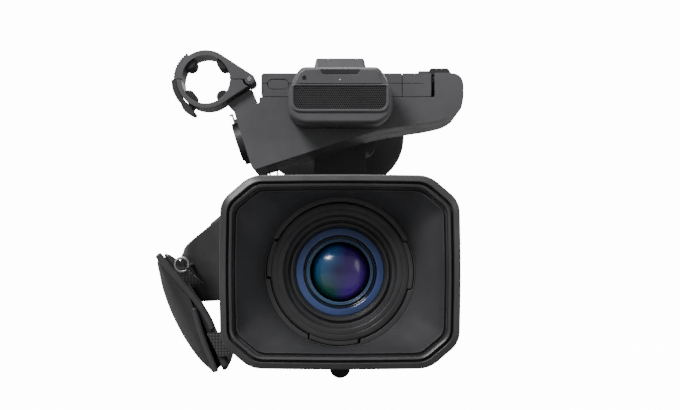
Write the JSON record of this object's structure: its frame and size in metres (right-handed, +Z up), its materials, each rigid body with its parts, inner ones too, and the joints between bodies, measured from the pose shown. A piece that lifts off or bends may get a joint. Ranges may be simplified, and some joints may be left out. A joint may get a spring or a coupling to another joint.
{
  "type": "camcorder",
  "caption": "Handheld professional camcorder with a rectangular lens hood, carrying handle, flip-out screen, microphone holder, viewfinder and side grip with a hand belt.",
  "frame": {"origin": "centre of the tripod socket's mouth on the underside of the base plate", "axes": "-Y along the lens axis towards the subject, +Z up, +X towards the camcorder's own left side"},
  "size_m": [0.2064, 0.3901, 0.2317],
  "materials": {
    "black_shell": "fine spark-eroded texture",
    "grey_shell": "satin paint on die-cast magnesium",
    "rubber": "matte",
    "lens_glass": "multi-layer anti-reflection coating",
    "steel": "nickel plated",
    "black_aluminium": "black anodised",
    "black_fabric": "woven nylon over foam",
    "black_leather": "grained",
    "aluminium": "machined",
    "circuit_board": "solder-masked",
    "screen_glass": "polished",
    "painted_steel": "satin",
    "red_plastic": "satin",
    "gloss_black": "satin"
  },
  "bodies": {
    "camcorder": {"lens_hood": "black_shell", "lens_front_ring": "black_aluminium", "front_element": "lens_glass", "element_retainer": "black_aluminium", "lens_barrel": "black_aluminium", "relay_lens": "lens_glass", "iris_diaphragm": "black_aluminium", "sensor_block": "aluminium", "main_board": "circuit_board", "body_left_cover": "black_shell", "body_right_cover": "black_shell", "body_top_cover": "grey_shell", "base_plate": "black_aluminium", "rear_panel": "black_shell", "handle_block": "grey_shell", "handle_block_back": "grey_shell", "xlr_connectors": "black_shell", "lcd_hinge": "black_shell", "mic_housing": "grey_shell", "mic_grille": "painted_steel", "mic_capsules": "steel", "handle_bar": "grey_shell", "front_pillar": "black_shell", "accessory_shoe": "steel", "mic_holder_base": "grey_shell", "mic_holder_lower_jaw": "grey_shell", "mic_holder_pads_lower": "rubber", "mic_holder_pin": "steel", "grip_body": "rubber", "grip_belt_pad": "black_fabric", "grip_belt_flap": "black_leather", "grip_belt_webbing": "black_fabric", "strap_rings": "steel", "cable_guides": "black_shell", "case_screws": "steel"},
    "hood_lock_knob": {"hood_lock_knob": "rubber"},
    "focus_ring": {"focus_ring": "rubber"},
    "zoom_ring": {"zoom_ring": "black_aluminium"},
    "iris_ring": {"iris_ring": "rubber"},
    "battery": {"battery": "black_shell"},
    "battery_release": {"battery_release": "gloss_black"},
    "xlr_tab_front": {"xlr_tab_front": "steel"},
    "xlr_tab_rear": {"xlr_tab_rear": "steel"},
    "screen_unit": {"lcd_arm": "grey_shell", "lcd_panel": "grey_shell", "lcd_screen": "screen_glass"},
    "handle_rec_button": {"handle_rec_button": "red_plastic"},
    "handle_zoom_rocker": {"handle_zoom_rocker": "rubber"},
    "viewfinder": {"evf_housing": "black_shell", "evf_eyecup": "rubber", "evf_lens": "lens_glass"},
    "holder_upper_jaw": {"mic_holder_upper_jaw": "grey_shell", "mic_holder_pads_upper": "rubber"},
    "holder_latch": {"mic_holder_latch": "black_shell"},
    "zoom_rocker": {"zoom_rocker": "rubber"},
    "rec_button": {"rec_button": "red_plastic"},
    "menu_dial": {"menu_dial": "rubber"},
    "power_switch": {"power_switch": "gloss_black"},
    "assign_button_1": {"assign_button_1": "gloss_black"},
    "assign_button_2": {"assign_button_2": "gloss_black"}
  },
  "joints": [
    {"name": "focus_turn", "type": "hinge", "parent": "camcorder", "child": "focus_ring", "pos_m": [0, -0.155, 0.073], "axis": [0, -1, 0], "range_deg": [-60, 60]},
    {"name": "zoom_turn", "type": "hinge", "parent": "camcorder", "child": "zoom_ring", "pos_m": [0, -0.129, 0.073], "axis": [0, -1, 0], "range_deg": [-40, 40]},
    {"name": "iris_turn", "type": "hinge", "parent": "camcorder", "child": "iris_ring", "pos_m": [0, -0.107, 0.073], "axis": [0, -1, 0], "range_deg": [-50, 50]},
    {"name": "hood_lock_turn", "type": "hinge", "parent": "camcorder", "child": "hood_lock_knob", "pos_m": [0, -0.207, 0.013], "axis": [0, 0, -1], "continuous": true},
    {"name": "screen_swing", "type": "hinge", "parent": "camcorder", "child": "screen_unit", "pos_m": [0.0618, -0.125, 0.2074], "axis": [0, 1, 0], "range_deg": [0, 180]},
    {"name": "viewfinder_tilt", "type": "hinge", "parent": "camcorder", "child": "viewfinder", "pos_m": [0, 0.083, 0.196], "axis": [1, 0, 0], "range_deg": [0, 75]},
    {"name": "holder_open", "type": "hinge", "parent": "camcorder", "child": "holder_upper_jaw", "pos_m": [-0.0596, -0.1515, 0.2002], "axis": [0, 1, 0], "range_deg": [0, 75]},
    {"name": "latch_open", "type": "hinge", "parent": "camcorder", "child": "holder_latch", "pos_m": [-0.09883, -0.1515, 0.18175], "axis": [0, -1, 0], "range_deg": [0, 35]},
    {"name": "zoom_rock", "type": "hinge", "parent": "camcorder", "child": "zoom_rocker", "pos_m": [-0.08407, -0.063, 0.1077], "axis": [0.766, 0, 0.6428], "range_deg": [-7, 7], "stiffness_Nm_per_rad": 0.25},
    {"name": "handle_zoom_rock", "type": "hinge", "parent": "camcorder", "child": "handle_zoom_rocker", "pos_m": [0, 0, 0.2252], "axis": [1, 0, 0], "range_deg": [-5, 5], "stiffness_Nm_per_rad": 0.12},
    {"name": "rec_press", "type": "slide", "parent": "camcorder", "child": "rec_button", "axis": [0, -1, 0], "range_m": [0, 0.0015], "stiffness_N_per_m": 600},
    {"name": "handle_rec_press", "type": "slide", "parent": "camcorder", "child": "handle_rec_button", "axis": [0, 0, -1], "range_m": [0, 0.0008], "stiffness_N_per_m": 600},
    {"name": "assign_1_press", "type": "slide", "parent": "camcorder", "child": "assign_button_1", "axis": [-1, 0, 0], "range_m": [0, 0.001], "stiffness_N_per_m": 500},
    {"name": "assign_2_press", "type": "slide", "parent": "camcorder", "child": "assign_button_2", "axis": [-1, 0, 0], "range_m": [0, 0.001], "stiffness_N_per_m": 500},
    {"name": "menu_dial_turn", "type": "hinge", "parent": "camcorder", "child": "menu_dial", "pos_m": [0.048, 0.062, 0.059], "axis": [1, 0, 0], "continuous": true},
    {"name": "power_slide", "type": "slide", "parent": "camcorder", "child": "power_switch", "axis": [0, 1, 0], "range_m": [0, 0.008]},
    {"name": "battery_slide", "type": "slide", "parent": "camcorder", "child": "battery", "axis": [0, 1, 0], "range_m": [0, 0.03]},
    {"name": "battery_release_slide", "type": "slide", "parent": "camcorder", "child": "battery_release", "axis": [1, 0, 0], "range_m": [0, 0.004], "stiffness_N_per_m": 300},
    {"name": "xlr_front_release", "type": "slide", "parent": "camcorder", "child": "xlr_tab_front", "axis": [0.9537, 0, 0.3007], "range_m": [0, 0.0008], "stiffness_N_per_m": 800},
    {"name": "xlr_rear_release", "type": "slide", "parent": "camcorder", "child": "xlr_tab_rear", "axis": [0.9537, 0, 0.3007], "range_m": [0, 0.0008], "stiffness_N_per_m": 800}
  ]
}
